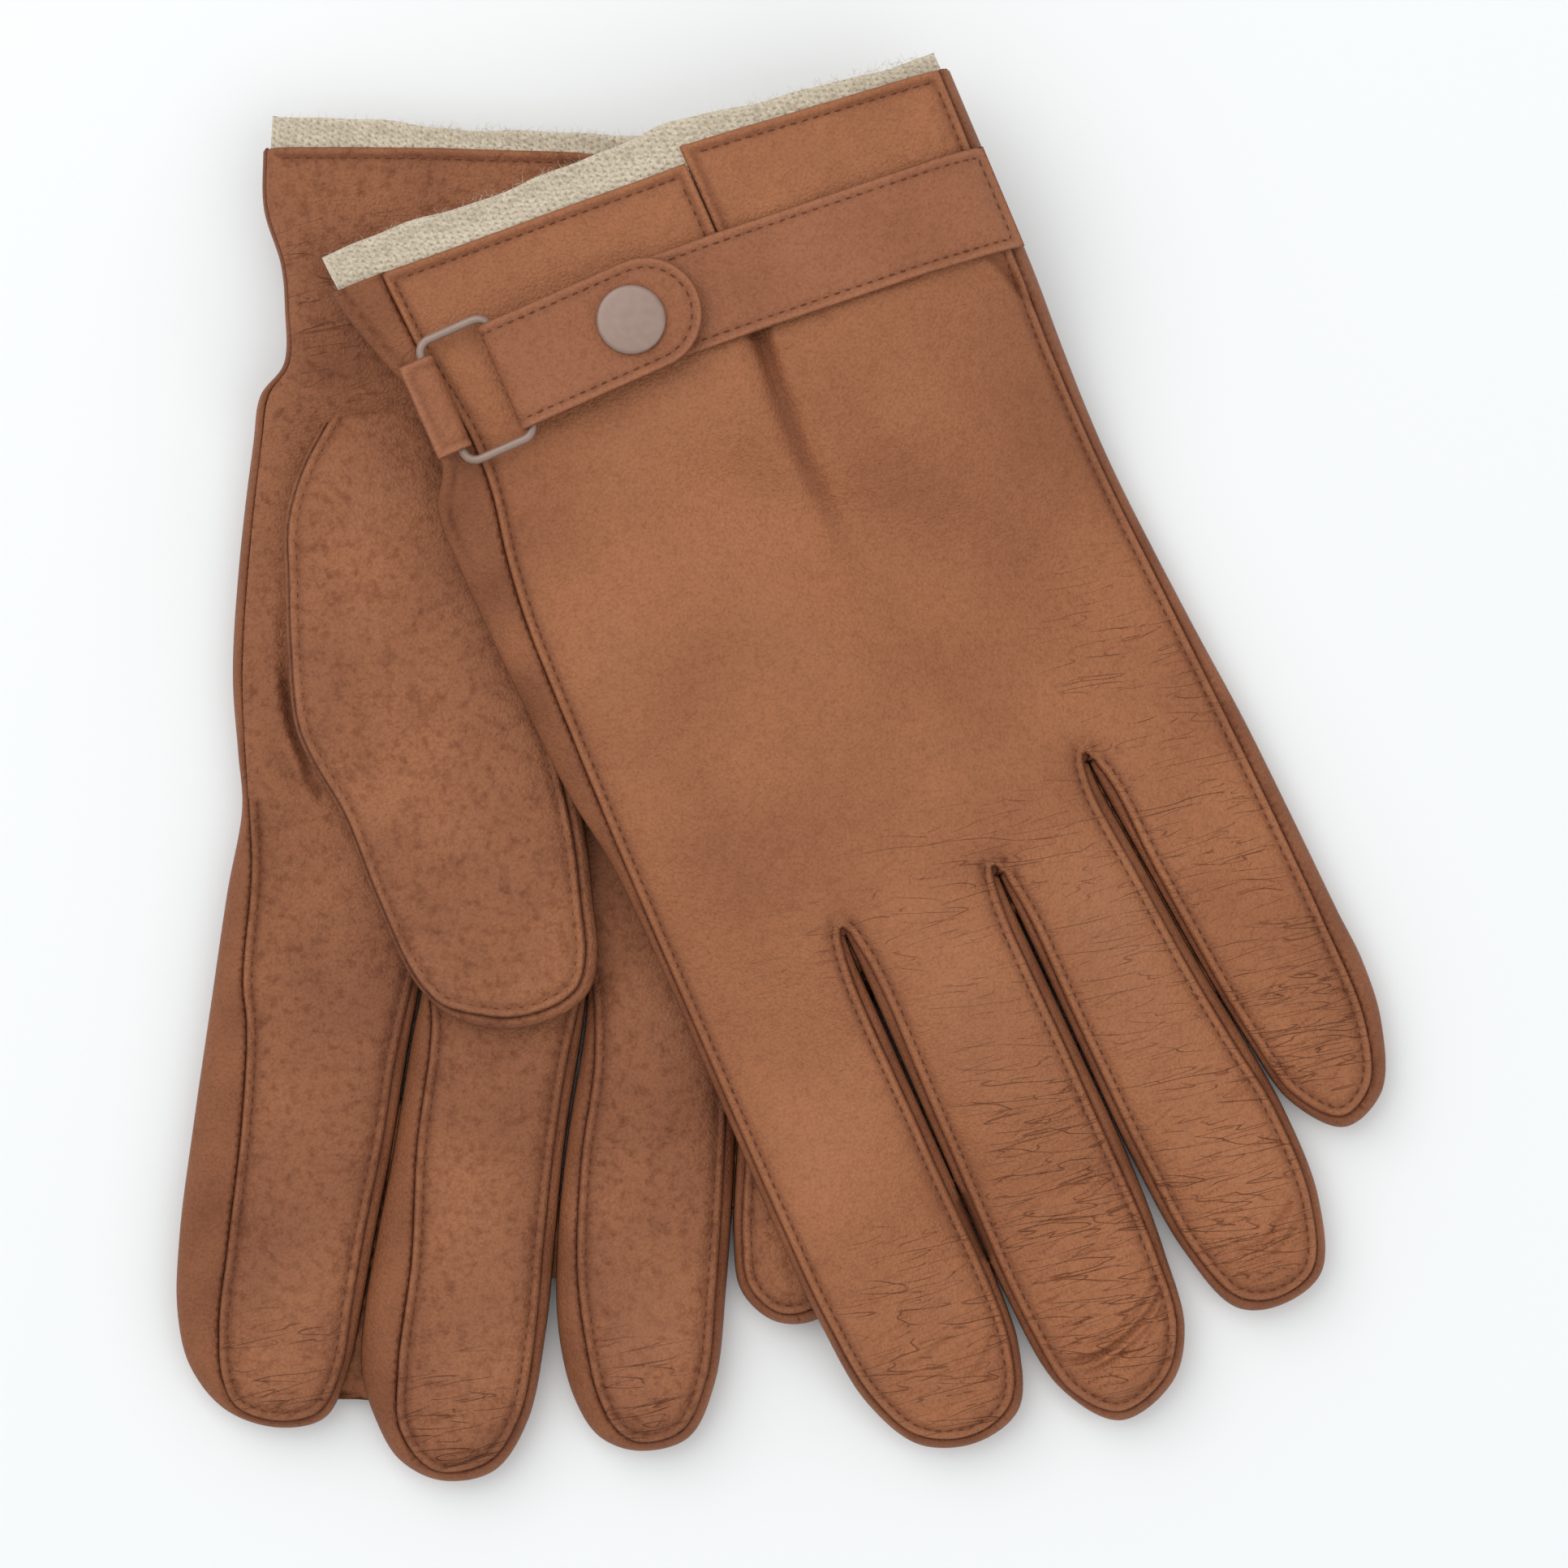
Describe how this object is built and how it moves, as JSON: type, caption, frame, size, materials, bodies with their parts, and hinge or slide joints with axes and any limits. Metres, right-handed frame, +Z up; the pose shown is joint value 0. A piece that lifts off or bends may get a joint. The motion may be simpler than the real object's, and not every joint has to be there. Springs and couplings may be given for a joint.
{
  "type": "leather driving gloves",
  "caption": "Pair of lined leather driving gloves lying flat, with seamed fingers, a knit lining and a snap strap at each wrist.",
  "frame": {"origin": "middle of the pair's footprint, on the table", "axes": "+Z up; +Y towards the cuffs; +X towards the little finger of the upper glove"},
  "size_m": [0.2194, 0.2652, 0.0354],
  "materials": {
    "back_leather": "satin nappa, fine grain",
    "palm_leather": "matte, slightly suede-like, mottled",
    "strap_leather": "satin nappa, edge stitched",
    "knit": "oatmeal wool knit",
    "elastic": "woven elastic",
    "enamelled_metal": "matte taupe enamel"
  },
  "bodies": {
    "right_glove": {"right_back_panel": "back_leather", "right_palm_panel": "palm_leather", "right_index_side_gusset": "back_leather", "right_fourchette_index_middle": "back_leather", "right_fourchette_middle_ring": "back_leather", "right_fourchette_ring_little": "back_leather", "right_thumb_back": "palm_leather", "right_thumb_front": "palm_leather", "right_knit_lining": "knit", "right_wrist_elastic": "elastic", "right_strap": "strap_leather", "right_ring_keeper_tab": "strap_leather", "right_snap_stud": "enamelled_metal", "right_snap_post": "enamelled_metal"},
    "right_ring": {"right_ring": "enamelled_metal"},
    "right_tail": {"right_strap_tail": "strap_leather", "right_snap_cap": "enamelled_metal", "right_snap_socket": "enamelled_metal"},
    "left_glove": {"left_back_panel": "back_leather", "left_palm_panel": "palm_leather", "left_index_side_gusset": "back_leather", "left_fourchette_index_middle": "back_leather", "left_fourchette_middle_ring": "back_leather", "left_fourchette_ring_little": "back_leather", "left_thumb_back": "palm_leather", "left_thumb_front": "palm_leather", "left_knit_lining": "knit", "left_wrist_elastic": "elastic", "left_strap": "strap_leather", "left_ring_keeper_tab": "strap_leather", "left_snap_stud": "enamelled_metal", "left_snap_post": "enamelled_metal"},
    "left_ring": {"left_ring": "enamelled_metal"},
    "left_tail": {"left_strap_tail": "strap_leather", "left_snap_cap": "enamelled_metal", "left_snap_socket": "enamelled_metal"}
  },
  "joints": [
    {"name": "left_lift_off", "type": "slide", "parent": "right_glove", "child": "left_glove", "axis": [0, 0, 1], "range_m": [0, 0.12]},
    {"name": "left_ring_rock", "type": "hinge", "parent": "left_glove", "child": "left_ring", "pos_m": [-0.06218, 0.06461, 0.0319], "axis": [0.4035, -0.915, 0], "range_deg": [0, 25]},
    {"name": "left_tail_open", "type": "hinge", "parent": "left_ring", "child": "left_tail", "pos_m": [-0.04992, 0.07001, 0.0319], "axis": [0.4035, -0.915, 0], "range_deg": [0, 150]},
    {"name": "right_ring_rock", "type": "hinge", "parent": "right_glove", "child": "right_ring", "pos_m": [-0.08462, 0.08935, 0.004], "axis": [0.0854, 0.9963, 0], "range_deg": [0, 25]},
    {"name": "right_tail_open", "type": "hinge", "parent": "right_ring", "child": "right_tail", "pos_m": [-0.07127, 0.08821, 0.004], "axis": [0.0854, 0.9963, 0], "range_deg": [0, 150]}
  ]
}
